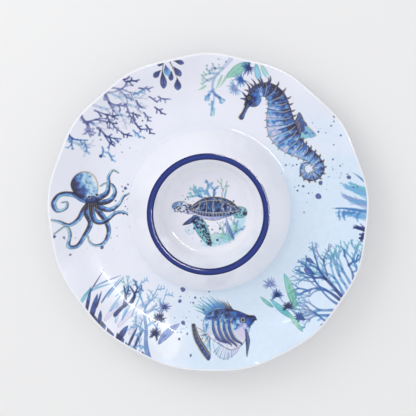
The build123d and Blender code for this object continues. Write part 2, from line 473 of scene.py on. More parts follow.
class Paper:
    """A square sheet in the platter's plane, in millimetres, that watercolours are laid on."""

    def __init__(self, half, cell, seed):
        self.half, self.cell = half, cell
        self.size = int(2 * half / cell) + 1
        self.rng = np.random.default_rng(seed)
        self.rgb = np.ones((self.size, self.size, 3), np.float32)
        self.cloud = self.noise(22)
        self.mottle = self.noise(3.6)
        self.grain = self.noise(0.8)

    def noise(self, blot):
        """Soft random tone from 0 to 1, in blots of about that many millimetres."""
        tone = np.zeros((self.size, self.size), np.float32)
        for octave, weight in ((1, 0.6), (2, 0.27), (4, 0.13)):
            knots = int(2 * self.half / blot * octave) + 3
            values = self.rng.random((knots, knots))
            place = np.linspace(0, knots - 1.001, self.size)
            low = place.astype(int)
            part = place - low
            part = part * part * (3 - 2 * part)
            rows = values[low] * (1 - part)[:, None] + values[low + 1] * part[:, None]
            tone += weight * (rows[:, low] * (1 - part) + rows[:, low + 1] * part)
        return tone

    def everywhere(self):
        """The coordinates of every cell."""
        side = np.arange(self.size) * self.cell - self.half
        return np.meshgrid(side, side)

    def window(self, points, reach):
        """The cells around some points: where they are in the sheet, and their coordinates."""
        points = np.asarray(points, float)
        low = ((points.min(0) - reach + self.half) / self.cell).astype(int)
        high = ((points.max(0) + reach + self.half) / self.cell).astype(int) + 2
        (left, bottom), (right, top) = np.clip((low, high), 0, self.size)
        x = np.arange(left, right) * self.cell - self.half
        y = np.arange(bottom, top) * self.cell - self.half
        return (slice(bottom, top), slice(left, right)), *np.meshgrid(x, y)

    def lay(self, place, gap, colour, strength, soft, pool):
        """Pigment wherever the gap to a shape is negative, pooled along its edge and broken by the grain."""
        cover = np.clip(0.5 - gap / soft, 0, 1) * strength * (0.86 + 0.28 * (self.grain[place] - 0.5))
        pooled = pool * np.exp(-(((gap + 0.45) / 0.5) ** 2))
        colour = np.asarray(colour) * (1 - pooled[..., None])
        self.rgb[place] += (colour - self.rgb[place]) * np.clip(cover, 0, 1)[..., None]

    def stroke(self, points, widths, start, end=None, strength=0.95, soft=0.5, pool=0.15):
        """A brush stroke that changes width, and runs from one colour into another."""
        points = np.asarray(points, float)
        widths = spread(widths, len(points))
        place, x, y = self.window(points, widths.max() + 1)
        if x.size == 0:
            return
        gap, along, _ = chain(x, y, points, widths)
        along = along + 0.7 * (self.mottle[place] - 0.5)
        self.lay(place, gap, ramp(along, (start, end or start)), strength, soft, pool)

    def patch(self, outline, stops, heading=0, strength=0.95, ragged=0, soft=0.5, pool=0.2, run=0.9):
        """A filled shape whose colours run through stops along a heading, mingling as they go."""
        outline = np.asarray(outline, float)
        place, x, y = self.window(outline, 1.5 + ragged)
        gap = outline_gap(x, y, outline) + ragged * 2 * (self.mottle[place] - 0.5)
        way = np.array((math.cos(math.radians(heading)), math.sin(math.radians(heading))))
        reach = outline @ way
        share = (x * way[0] + y * way[1] - reach.min()) / np.ptp(reach)
        share = share + run * (self.mottle[place] - 0.5)
        self.lay(place, gap, ramp(share, stops), strength, soft, pool)

    def dot(self, centre, radius, colour, strength=0.9):
        """A drop of colour with an uneven edge."""
        place, x, y = self.window([centre], radius + 1)
        gap = np.hypot(x - centre[0], y - centre[1]) - radius
        gap += 0.5 * radius * (self.mottle[place] - 0.5)
        self.lay(place, gap, colour, strength, 0.45, 0.3)

    def sample(self, xy):
        """The sheet's colour at places, read between its cells."""
        place = (np.asarray(xy, float) + self.half) / self.cell
        place = np.clip(place, 0, self.size - 1.001)
        low = place.astype(int)
        part = (place - low)[:, :, None]
        (x0, y0), (px, py) = low.T, (part[:, 0], part[:, 1])
        near = self.rgb[y0, x0] * (1 - px) + self.rgb[y0, x0 + 1] * px
        far = self.rgb[y0 + 1, x0] * (1 - px) + self.rgb[y0 + 1, x0 + 1] * px
        return near * (1 - py) + far * py


def spread(values, count):
    """A few values spread evenly over many."""
    values = np.atleast_1d(np.asarray(values, float))
    return np.interp(np.linspace(0, 1, count), np.linspace(0, 1, len(values)), values)


def ramp(share, stops):
    """The colour at a share of the way through evenly spaced stops."""
    share = np.clip(share, 0, 1) * (len(stops) - 1)
    stops = np.asarray(stops, float)
    return np.stack([np.interp(share, np.arange(len(stops)), stops[:, i]) for i in range(3)], axis=-1)


def chain(x, y, points, widths):
    """Gap to the edge of a tapering line, the share of the way along it, and the side, -1 to 1 across it."""
    gap = np.full(x.shape, FAR_OFF)
    along = np.zeros(x.shape)
    side = np.zeros(x.shape)
    for i in range(len(points) - 1):
        (px, py), (dx, dy) = points[i], points[i + 1] - points[i]
        t = np.clip(((x - px) * dx + (y - py) * dy) / (dx * dx + dy * dy + NEXT_TO_NOTHING), 0, 1)
        ox, oy = x - px - t * dx, y - py - t * dy
        width = widths[i] + (widths[i + 1] - widths[i]) * t
        here = np.hypot(ox, oy) - width
        nearer = here < gap
        gap = np.where(nearer, here, gap)
        along = np.where(nearer, (i + t) / (len(points) - 1), along)
        across = (dx * oy - dy * ox) / (math.hypot(dx, dy) + NEXT_TO_NOTHING) / np.maximum(width, 0.1)
        side = np.where(nearer, across, side)
    return gap, along, side


def outline_gap(x, y, outline):
    """Gap to a closed outline, negative inside it."""
    gap = np.full(x.shape, FAR_OFF)
    inside = np.zeros(x.shape, bool)
    for p, q in zip(outline, np.roll(outline, -1, axis=0)):
        dx, dy = q - p
        t = np.clip(((x - p[0]) * dx + (y - p[1]) * dy) / (dx * dx + dy * dy + NEXT_TO_NOTHING), 0, 1)
        gap = np.minimum(gap, np.hypot(x - p[0] - t * dx, y - p[1] - t * dy))
        straddles = (p[1] > y) != (q[1] > y)
        rise = dy if abs(dy) > NEXT_TO_NOTHING else NEXT_TO_NOTHING
        inside ^= straddles & (x < p[0] + dx * (y - p[1]) / rise)
    return np.where(inside, -gap, gap)


def spline(points, steps):
    """A smooth curve through all points but the two end ones, which only steer it."""
    curve = []
    for a, b, c, d in zip(points, points[1:], points[2:], points[3:]):
        for t in np.arange(steps) / steps:
            curve.append(b + 0.5 * t * (c - a + t * (2 * a - 5 * b + 4 * c - d + t * (3 * (b - c) + d - a))))
    return np.array(curve)


def flow(points, steps=8):
    """A smooth open curve through points."""
    points = np.asarray(points, float)
    steered = np.vstack((2 * points[0] - points[1], points, 2 * points[-1] - points[-2]))
    return np.vstack((spline(steered, steps), points[-1:]))


def loop(points, steps=8):
    """A smooth closed curve through points."""
    points = np.asarray(points, float)
    return spline(np.vstack((points[-1:], points, points[:2])), steps)


def curl(start, heading, length, bends, steps):
    """A line of a given length that turns by each bend, in degrees, over equal stretches."""
    turning = spread(bends, steps) * len(np.atleast_1d(bends)) / steps
    headings = np.radians(heading + np.cumsum(turning))
    moves = np.stack((np.cos(headings), np.sin(headings)), axis=1) * length / steps
    return np.vstack((start, np.asarray(start) + np.cumsum(moves, axis=0)))


def beside(points, offset):
    """The same line moved sideways, to the left of its direction."""
    ahead = np.gradient(points, axis=0)
    ahead /= np.linalg.norm(ahead, axis=1)[:, None] + 1e-9
    return points + np.stack((-ahead[:, 1], ahead[:, 0]), axis=1) * np.reshape(offset, (-1, 1))


def polar(angle, radius):
    """The point at an angle in degrees and a radius."""
    return np.array((radius * math.cos(math.radians(angle)), radius * math.sin(math.radians(angle))))


# ---- plants ----
def grow(paper, kind, rows, *shared, **named):
    """The same kind of thing for every row: the row's own values first, and then the ones they share."""
    for row in rows:
        kind(paper, *row, *shared, **named)


def coral(paper, root, heading, length, width, colours, forks, lean, strength, fingers, soft=0.5, end=0.45):
    """A branching coral: each branch bends, puts out fingers, forks, and pales towards its tips."""
    rng = paper.rng
    line = curl(root, heading, length, rng.uniform(-26, 26, 2), 8)
    tip = width * 0.8
    onward = colours[1:] if len(colours) > 1 else colours
    load = strength * rng.uniform(0.7, 1.05)
    paper.stroke(line, (width, tip * 0.9, tip), colours[0], onward[0], load, soft, 0.28)
    for _ in range(fingers):
        joint = line[rng.integers(2, 8)]
        turn = rng.choice((-1, 1)) * rng.uniform(32, 62)
        reach = length * rng.uniform(0.26, 0.52)
        finger = curl(joint, heading + turn, reach, rng.uniform(-30, 30), 5)
        widths = (tip * 0.75, tip * 0.7, tip * (0.3 + end))
        paper.stroke(finger, widths, onward[0], onward[-1], load, soft)
    if forks == 0:
        return
    for side in (-1, 1):
        turn = side * lean * rng.uniform(0.45, 1.2)
        reach = length * rng.uniform(0.64, 0.88)
        branch = (line[-1], heading + turn, reach, tip, onward, forks - 1)
        coral(paper, *branch, lean, strength, fingers, soft, end)


def twig(paper, root, heading, length, width, colours, strength, soft=0.5):
    """A stubby bit of coral with a few blunt fingers."""
    rng = paper.rng
    line = curl(root, heading, length, rng.uniform(-50, 50, 2), 8)
    paper.stroke(line, (width, width * 0.8, width), colours[0], colours[-1], strength, soft, 0.25)
    for share, side in ((2, -1), (4, 1), (6, -1), (8, 1)):
        turn = heading + side * rng.uniform(25, 55)
        finger = curl(line[share], turn, length * rng.uniform(0.25, 0.5), rng.uniform(-30, 30), 5)
        paper.stroke(finger, (width * 0.75, width * 0.85), colours[0], colours[-1], strength, soft)


def leaf(paper, root, heading, length, width, bend, stops, strength, vein=None, belly=0.9):
    """A leaf on a bent midrib. A belly above 1 moves its widest part towards the tip."""
    line = curl(root, heading, length, bend, 24)
    share = np.linspace(0, 1, len(line))
    half = width / 2 * np.sin(math.pi * share**belly) ** 0.75 + 0.15
    outline = np.vstack((beside(line, half), beside(line, -half)[::-1]))
    paper.patch(outline, stops, heading, strength)
    if vein:
        paper.stroke(line[2:-3], (0.3, 0.15), vein, strength=0.7)


def blade(paper, root, heading, length, width, start, end, bends, strength):
    """A blade of grass."""
    line = curl(root, heading, length, bends, 24)
    paper.stroke(line, (width * 0.6, width, width * 0.6, 0.1), start, end, strength)


def frond(paper, root, heading, length, width, start, end, bend, strength):
    """A broad frond with a ragged edge of pointed fingers."""
    rng = paper.rng
    line = curl(root, heading, length, bend, 20)
    paper.stroke(line, (width, width * 0.75, width * 0.4, 0.2), start, end, strength, pool=0.3)
    for step in range(2, 18):
        side = rng.choice((-1, 1))
        turn = heading + side * rng.uniform(14, 38)
        reach = width * rng.uniform(1.2, 2.6) * (1.15 - step / 24)
        paper.stroke(curl(line[step], turn, reach, 0, 5), (width * 0.45, 0.25), start, end, strength)
    paper.stroke(line[:-5], (0.35, 0.2), start, strength=0.7)


def thistle(paper, centre, radius, start, end, heading, rays, fan, strength=0.9):
    """A spiky flower head."""
    rng = paper.rng
    for angle in np.linspace(-fan / 2, fan / 2, rays):
        tip = radius * rng.uniform(0.65, 1.1)
        ray = curl(centre, heading + angle, tip, rng.uniform(-15, 15), 6)
        paper.stroke(ray, (0.8, 0.3), start, end, strength)
    paper.dot(centre, radius * 0.3, start, strength)


def splatter(paper, centre, reach, count, colours, largest):
    """Fine drops flung about a place, small ones most."""
    rng = paper.rng
    for _ in range(count):
        place = np.asarray(centre) + rng.normal(0, reach, 2)
        size = largest * rng.uniform(0.3, 1) ** 2 + 0.18
        paper.dot(place, size, colours[rng.integers(len(colours))], 0.85)


def blot(paper, centre, size, stops, least, spare, **brush):
    """A soft puddle with six uneven corners."""
    corners = [polar(60 * k, size * (least + spare * paper.rng.random())) + centre for k in range(6)]
    paper.patch(loop(corners), stops, **brush)


# ---- animals ----
def gilded(paper, outline, shift, gilt, stops, *brush, **more):
    """A patch over a gold one that shows along one side of it."""
    paper.patch(outline + np.array(shift), (GOLD, GOLD), strength=gilt)
    paper.patch(outline, stops, *brush, **more)


def freckles(paper, count, low, high, sizes, colours, strength, hub=(0, 0)):
    """Spots scattered evenly between two corners."""
    rng = paper.rng
    for _ in range(count):
        spot = (rng.uniform(low[0], high[0]) + hub[0], rng.uniform(low[1], high[1]) + hub[1])
        paper.dot(spot, rng.uniform(*sizes), colours[rng.integers(len(colours))], strength)


def tentacle(paper, points, width, stops):
    """A tapering arm, dark along one side and lit along the other, with a gold outline and a wet gleam."""
    line = flow(points)
    share = np.linspace(0, 1, len(line))
    widths = width * (1 - 0.84 * share**0.9) + 0.25
    paper.stroke(beside(line, -0.3), widths + 0.22, GOLD, strength=0.5, pool=0)
    place, x, y = paper.window(line, width + 1)
    gap, along, side = chain(x, y, line, widths)
    tone = 0.9 * along**1.3 + 0.45 * side + 0.9 * (paper.mottle[place] - 0.5) + 0.06
    paper.lay(place, gap, ramp(tone, stops), 0.98, 0.5, 0.35)
    gleam = beside(line, widths * 0.4)[3:-4]
    paper.stroke(gleam, (0.2, 0.55, 0.3), SKY, PALE, 0.6, pool=0)


def octopus(paper, hub):
    """Eight arms from a dark hub, under a domed mantle that is dark on its far side."""
    arms = (
        ((0, 0), (-10, 3), (-20, 9), (-31, 11), (-37, 3), (-34, -6), (-27, -5), (-26, 1), (-30, 2)),
        ((-2, -1), (-9, -9), (-15, -19), (-24, -24), (-33, -18), (-43, -13)),
        ((-1, -2), (-6, -12), (-2, -24), (-8, -37), (-16, -48), (-24, -46), (-23, -34), (-27, -25),
         (-36, -30)),
        ((2, -2), (8, -12), (15, -22), (18, -34), (13, -46), (4, -49), (-3, -45), (-5, -38)),
        ((0, -2), (0, -13), (4, -22), (14, -22), (25, -13), (36, -12), (43, -18), (42, -28)),
        ((2, -1), (10, -7), (20, -9), (29, -3), (35, 6), (44, 11)),
        ((2, 0), (11, -1), (20, 2), (25, 10), (22, 18), (15, 20), (9, 17)),
        ((1, 1), (9, 5), (16, 10), (18, 19), (18, 28), (23, 35), (29, 32)),
    )
    for arm in arms:
        tentacle(paper, np.add(arm, hub), 3.5, (INK, NAVY, COBALT, AZURE, SKY, AQUA, MIST))
    dome = [(-3, 0), (-12, 4), (-20, 12), (-22, 22), (-17, 31), (-8, 34), (1, 30), (6, 21), (6, 11), (4, 3)]
    dome = loop(dome)
    paper.patch(dome * 1.02 + np.add(hub, 0.4), (GOLD, GOLD), strength=0.6)
    shades = (INK, INK, NAVY, COBALT, SKY, MIST, SKY, MIST, PALE)
    paper.patch(dome + hub, shades, 20, 0.98, run=0.5, pool=0.35)
    freckles(paper, 26, (-12, 4), (3, 30), (0.4, 1), (NAVY, COBALT, PALE), 0.55, hub)
    brow = loop([(-6, -4), (-7, 4), (0, 7), (6, 3), (5, -5)])
    paper.patch(brow + hub, (INK, NAVY), 90, 0.85)
    for eye in ((-3.5, 5.5), (5, 7.5)):
        paper.dot(np.add(eye, hub), 2.2, PALE, 0.95)
        paper.dot(np.add(eye, hub), 1.4, INK, 1)
    for k in range(5):
        crease = np.add([(-4 + 2 * k, -2), (-5 + 2.6 * k, -12)], hub)
        paper.stroke(crease, (0.4, 0.2), GOLD, strength=0.6)


def seahorse_fins(paper, line, back, front):
    """The back fin, the crest of spines behind the body and the short ones before it."""
    fin = loop([(94, 96), (98, 108), (103, 100), (108, 92), (117, 82), (108, 79), (99, 77)], 5)
    gilded(paper, fin, 0.5, 0.8, (INDIGO, NAVY, COBALT, SKY, AQUA), -40, 0.96, 1.2, run=1.3)
    for share in np.linspace(0, 1, 9):
        tip = np.array((98, 107)) * (1 - share) + np.array((115, 82)) * share
        paper.stroke([(92, 88), tip], (0.4, 0.25), INK, SKY, 0.65)
    for i in range(3, len(line) - 14, 4):
        outward = (back[i] - line[i]) / np.linalg.norm(back[i] - line[i])
        lean = (line[i - 1] - line[i + 1]) * 0.5
        reach = outward * (6 * (1 - 0.75 * i / len(line)))
        spike = [back[i] - outward * 2, back[i] + reach * 0.5, back[i] + reach + lean]
        paper.stroke(spike, (2, 1.1, 0.35), GOLD, strength=0.9)
        paper.stroke(np.array(spike) - outward * 0.7, (1.7, 0.8, 0.2), INDIGO, NAVY, 1)
    for i in range(20, len(line) - 22, 4):
        outward = (front[i] - line[i]) / np.linalg.norm(front[i] - line[i])
        spike = [front[i] - outward * 1.2, front[i] + outward * 2.0]
        paper.stroke(spike, (1.3, 0.35), GOLD, NAVY, 0.9)


def seahorse_body(paper, line, widths, back):
    """The streaked body, its ribs and the dotted line down its flank."""
    place, x, y = paper.window(line, widths.max() + 2)
    gap, along, side = chain(x, y, line, widths)
    paper.lay(place, gap - 0.35, GOLD, 0.65, 0.5, 0)
    streaks = paper.rng.random((221, 3))
    streak = streaks[(along * 220).astype(int), np.clip((side + 1) * 1.5, 0, 2).astype(int)]
    tone = 0.45 - 0.34 * side + 0.5 * (streak - 0.5) + 1 * (paper.mottle[place] - 0.5)
    tone += 0.5 * (along * 22 % 1 - 0.5)
    tone -= 0.35 * np.exp(-(((along - 0.16) / 0.1) ** 2))
    tone += 0.22 * np.exp(-(((along - 0.34) / 0.07) ** 2)) * (side < 0.2)
    tone += 0.3 * np.exp(-(((along - 0.95) / 0.12) ** 2))
    stops = (INK, NAVY, COBALT, COBALT, AZURE, SKY, PERIWINKLE, LAVENDER)
    paper.lay(place, gap, ramp(tone, stops), 0.98, 0.5, 0.35)
    for i in range(14, len(line) - 10, 5):
        across = back[i] - line[i]
        ahead = (line[i + 1] - line[i]) * 1.3
        near, far = line[i] + across * 0.97, line[i] - across * 0.9
        rib = flow([near, line[i] + across * 0.5 + ahead, line[i] + ahead * 0.8, far], steps=5)
        fine = 0.35 + 0.65 * widths[i] / widths.max()
        paper.stroke(rib + 0.45, (0.8 * fine, 0.5 * fine), NAVY, COBALT, 0.75)
        paper.stroke(rib - 0.6, (0.2, 0.9 * fine, 0.5 * fine), PALE, SKY, 0.65, pool=0)
        paper.stroke(rib, (0.3 * fine, 0.3 * fine), GOLD, strength=0.6, pool=0)
    flank = beside(line, widths * 0.45)
    paper.stroke(flank[16:-14], (0.4, 0.3), INK, GOLD, 0.5)
    for i in range(18, len(line) - 14, 4):
        paper.dot(flank[i], 0.6, GOLD, 0.7)


def seahorse(paper):
    """Snout down to the left, spiny crest and back, ringed body, small back fin and a tail rolled inward."""
    spine = (
        (46, 123), (53, 131), (64, 132), (73, 124), (76, 113), (77, 100), (80, 87), (87, 76), (97, 67),
        (108, 60), (117, 53), (121, 45), (117, 37), (109, 35), (102.5, 40), (103, 48), (109, 50.5),
    )
    girth = (5.5, 7.5, 8.5, 10, 12, 15, 16.5, 14, 9.8, 7.4, 6.2, 5.4, 4.7, 4, 3.3, 2.6, 1.4)
    line = flow(spine)
    widths = spread(girth, len(line))
    back, front = beside(line, widths), beside(line, -widths)
    seahorse_fins(paper, line, back, front)
    seahorse_body(paper, line, widths, back)
    snout = flow([(43, 118), (39, 109), (35, 101)], steps=6)
    paper.stroke(snout + (-0.5, 0.2), (4.6, 2.4, 2.2, 3.2), GOLD, strength=0.9)
    paper.stroke(snout, (4.2, 2, 1.9, 2.7), INK, NAVY, 1)
    paper.stroke(snout + (1, 0.3), (0.9, 0.6), AZURE, SKY, 0.8)
    cheek = loop([(40, 121), (44, 129), (52, 130), (57, 122), (53, 114), (45, 113)], 6)
    paper.patch(cheek, (INK, NAVY, COBALT, AZURE), 10, 0.9, run=1)
    for tip in ((36, 129), (34, 122), (38, 115)):
        paper.stroke([(43, 121), tip], (2.2, 0.5), INK, NAVY, 0.95)
    horns = (((45, 129), (39, 142)), ((51, 135), (46, 145)), ((57, 138), (55, 147)), ((64, 139), (66, 148)))
    for root, tip in horns:
        horn = flow([root, np.add(root, tip) / 2 + (1.4, 0), tip], steps=4)
        paper.stroke(horn, (2.4, 1.2, 0.4), GOLD, strength=0.8)
        paper.stroke(horn, (2.1, 0.9, 0.2), NAVY, INDIGO, 1)
    for radius, colour, strength in ((3.1, INK, 0.95), (1.9, GOLD, 0.95), (1.1, INK, 1)):
        paper.dot((43.5, 122.5), radius, colour, strength)


def fish_fins(paper, centre):
    """The rayed back fin and the crescent tail."""
    rng = paper.rng
    for share in np.linspace(0, 1, 44):
        root = np.add((-25 + 33 * share, 13 + 8 * math.sin(math.pi * share)), centre)
        ray = curl(root, rng.normal(138 - 32 * share, 7), rng.uniform(11, 21) * (1 - 0.35 * share), 20, 8)
        colour = (SEAFOAM, AQUA, SKY, GOLD, NAVY)[int(min(4, share * 4 + rng.uniform(0, 1.2)))]
        paper.stroke(ray, (0.9, 0.25), AZURE if share < 0.7 else NAVY, colour, 0.8)
    tail = loop([(-26, -6), (-35, -4), (-40, 4), (-39, -9), (-32, -22), (-20, -31), (-19, -20)], 6)
    gilded(paper, tail + centre, (-0.5, -0.3), 0.8, (SKY, PALE, MIST), 200, 0.9)
    edge = flow([(-38, 1), (-35, -10), (-29, -20), (-21, -28)]) + centre
    paper.stroke(edge, (2.2, 3.4, 2.6), INK, NAVY, 0.97)
    paper.stroke(edge + (1.4, 0.8), (0.35, 0.5, 0.35), GOLD, strength=0.9)
    for step in range(2, len(edge) - 1, 3):
        paper.dot(edge[step] + (-0.6, -0.3), 0.8, SKY, 0.8)
    for end in ((-37, 0), (-33, -10), (-27, -18), (-20, -25)):
        paper.stroke(np.add([(-20, -8), end], centre), (0.8, 0.3), INK, GOLD, 0.85)


def fish(paper, centre):
    """A deep-bodied reef fish that faces right, with striped flanks, a rayed back fin and a crescent tail."""
    rng = paper.rng
    fish_fins(paper, centre)
    belly = loop([(-16, -15), (-12, -27), (-3, -30), (6, -27), (13, -21), (10, -14)], 6)
    paper.patch(belly + centre, (MIST, PALE, LAVENDER), 0, 0.9)
    for share in np.linspace(0, 1, 12):
        ray = [(-6 + 12 * share, -17), (-15 + 24 * share, -25 - 5 * math.sin(math.pi * share))]
        shade = NAVY if share % 0.2 < 0.1 else SKY
        paper.stroke(np.add(ray, centre), (0.3, 0.5), LAVENDER, shade, 0.6)
    body = [
        (31, 9), (29, 12.5), (22, 13), (12, 17), (-2, 20), (-16, 18), (-26, 10), (-28, -1), (-22, -10),
        (-11, -18), (3, -23), (15, -19), (22, -9), (26, 3),
    ]
    shades = (PERIWINKLE, PALE, LAVENDER, MIST, SKY, COBALT, NAVY, INK)
    gilded(paper, loop(body, 6) + centre, (0.2, 0.5), 0.6, shades, 82, 0.98, run=0.75, pool=0.35)
    flush = loop([(20, 4), (22, -4), (16, -12), (10, -6), (13, 3)])
    paper.patch(flush + centre, ((0.86, 0.76, 0.88), LAVENDER), 90, 0.75, 0, 1.5, 0)
    for lean in (-14, -8, -2, 4):
        foot = (lean + 12, -20 + abs(lean + 4) * 0.3)
        stripe = flow([(lean - 3, 8), (lean - 2, -2), (lean + 3, -12), foot]) + centre
        paper.stroke(stripe, (0.3, 2, 2.3, 0.6), COBALT, NAVY, 0.95)
        paper.stroke(stripe + (1.7, 0.5), (0.2, 0.6, 0.6, 0.2), GOLD, strength=0.95)
        paper.stroke(stripe + (2.6, 0.7), (0.2, 0.7, 0.5, 0.2), PALE, MIST, 0.8)
    brow = [(30.5, 9), (28.5, 12), (22, 12.7), (13, 16.5), (6, 17), (7, 10), (13, 7), (21, 3), (26, 2)]
    paper.patch(loop(brow, 6) + centre, (AZURE, COBALT, NAVY, INK), 60, 0.95, run=0.9)
    for turn in range(34):
        spot = np.add((rng.uniform(-22, 8), rng.uniform(4, 16)), centre)
        paper.dot(spot, rng.uniform(0.5, 1.3), (INK, NAVY, COBALT, SKY)[turn % 4], 0.6)
    for radius, colour in ((3.4, NAVY), (2.7, PALE), (2.1, GOLD), (1.5, INK)):
        paper.dot(np.add((16.5, 7.5), centre), radius, colour, 0.98)
    mouth = np.add([(31, 8.5), (27, 7.5), (24.5, 3)], centre)
    paper.stroke(mouth, (1.1, 0.5), INK, strength=0.9)
    pelvic = flow([(20, -3), (22, -14), (21, -26)]) + centre
    paper.stroke(pelvic, (1.2, 2.6, 0.5), NAVY, INK, 0.97)
    paper.stroke(pelvic + (0.5, 0), (0.2, 0.7, 0.2), SKY, PERIWINKLE, 0.7)


def turtle_shell(paper):
    """A domed shell seen from the side: its plates, their pale seams and the scalloped rim below."""
    rng = paper.rng
    outline = loop([
        (-22, 1), (-13, 9.5), (-2, 14), (12, 14.2), (24, 10), (31, 4), (35, -1), (22, -5.5), (6, -7.5),
        (-8, -6.5), (-17, -3),
    ])
    shades = (INK, NAVY, NAVY, COBALT, INK, NAVY, SKY, NAVY, INK)
    gilded(paper, outline, (0, 0.5), 0.9, shades, 25, 0.99, run=1.9, pool=0.4)
    ridge = flow([(-21, 1.5), (-10, 8.5), (3, 10.8), (16, 9.5), (33, -0.3)])
    rim = flow([(-20, 0), (-10, -2), (3, -3.2), (16, -3), (32, -0.6)])
    for edge in (ridge, rim):
        paper.stroke(edge, (0.42, 0.42), PALE, GOLD, 0.85)
    count = len(rim) - 1
    seams = (0.08, 0.25, 0.38, 0.56, 0.7, 0.88)
    inks = (
        (NAVY, SKY, INK, COBALT), (INK, NAVY, AZURE, INK), (COBALT, PALE, NAVY, INK), (INK, COBALT, SKY, NAVY)
    )
    for left, right in zip(seams, seams[1:]):
        first, last = int(left * count), int(right * count)
        plate = np.array((ridge[first], ridge[last], rim[last], rim[first]))
        plate = plate.mean(axis=0) + 0.75 * (plate - plate.mean(axis=0))
        paper.patch(plate, inks[first % 4], rng.uniform(0, 180), 0.85, 1, run=1.6)
    for turn, share in enumerate(seams):
        top, low = ridge[int(share * count)], rim[int(share * count)]
        bow = (top + low) / 2 + ((-1) ** turn * 1.1 + 3 * (share - 0.5), 0)
        paper.stroke(flow([top, bow, low], steps=4), (0.38, 0.45), GOLD, PALE, 0.9)
        paper.stroke([top, top + ((share - 0.45) * 9, 3.2)], (0.35, 0.3), GOLD, strength=0.85)
    for share in np.linspace(0.03, 0.97, 17):
        low = rim[int(share * count)]
        drop = low + ((share - 0.5) * 2, -4.2 * (1 - (2 * share - 1) ** 2) - 0.5)
        paper.stroke([low, drop], (0.38, 0.34), PALE, GOLD, 0.9)
    freckles(paper, 46, (-15, -2), (27, 9), (0.3, 0.8), (SKY, PALE, INK), 0.5)


def turtle(paper):
    """A sea turtle that swims left."""
    rng = paper.rng
    far_flipper = loop([(-14, -6), (-21, -9), (-30, -17), (-22, -16), (-13, -11)], 6)
    paper.patch(far_flipper, (COBALT, NAVY, INK), 200, 0.95)
    hind = loop([(24, 1), (32, 4), (40, 2), (42, -5), (36, -9), (28, -8)], 6)
    gilded(paper, hind, 0.4, 0.8, (NAVY, TEAL, AQUA, INK), -20, 0.96, run=1.2)
    freckles(paper, 26, (28, -7), (40, 3), (0.5, 1.1), (INK, PALE, NAVY), 0.85)
    head = [
        (-18, 3), (-26, 8), (-33, 9.5), (-40, 7), (-41.5, 2), (-37, -2.5), (-30, -3), (-24, -5), (-16, -4)
    ]
    shades = (PERIWINKLE, LAVENDER, PALE, AZURE)
    gilded(paper, loop(head, 6), (-0.3, 0.4), 0.8, shades, 150, 0.96, run=0.9)
    freckles(paper, 40, (-39, -3), (-19, 7), (0.5, 1.15), (NAVY, INK, COBALT), 0.85)
    paper.dot((-36, 3), 1.5, PALE, 1)
    paper.dot((-36, 3), 1, INK, 1)
    under = loop([(-16, -5), (-6, -10), (6, -12), (17, -9), (26, -5), (6, -5)], 6)
    paper.patch(under, (LAVENDER, PERIWINKLE, COBALT), 0, 0.9)
    paper.stroke(flow([(-14, -7), (4, -12), (22, -7)]), (0.3, 0.4, 0.3), GOLD, strength=0.8)
    turtle_shell(paper)
    fore = loop([(-18, -6), (-9, -9), (-3, -17), (1, -29), (2, -41), (-6, -36), (-14, -26), (-19, -14)])
    gilded(paper, fore, (0.4, 0.2), 0.8, (NAVY, AZURE, AQUA, TEAL, AQUA, INK), -66, 0.97, run=0.9)
    for row in range(17):
        share = row / 16
        spine = np.array((-14 + 15 * share, -10 - 28 * share))
        for across in (-1.4, -0.5, 0.5, 1.4):
            spot = spine + np.array((3, 1.4)) * across * (1 - 0.62 * share) + rng.normal(0, 0.25, 2)
            colour = (INK, PALE, NAVY, INK, INK, MIST)[rng.integers(6)]
            paper.dot(spot, 1.35 - 0.6 * share, colour, 0.9)


# ---- the pictures ----
def sea_wash(paper):
    """Lavender white, with a pale blue wash round the right and the bottom."""
    x, y = paper.everywhere()
    angle = np.degrees(np.arctan2(y, x))
    from_middle = np.abs((angle + 38 + 180) % 360 - 180)
    wash = np.clip((96 - from_middle) / 44 + 0.9 * (paper.cloud - 0.5), 0, 1)
    wash = wash * (0.85 + 0.3 * (paper.mottle - 0.5)) * (0.92 + 0.16 * (paper.grain - 0.5))
    base = ramp(0.5 + 1.2 * (paper.cloud - 0.5), ((0.915, 0.922, 0.972), (0.935, 0.940, 0.982)))
    blue = ramp(0.5 + 1.4 * (paper.mottle - 0.5), ((0.800, 0.890, 0.970), (0.855, 0.920, 0.982)))
    paper.rgb[:] = base + (blue - base) * np.clip(wash, 0, 1)[..., None]


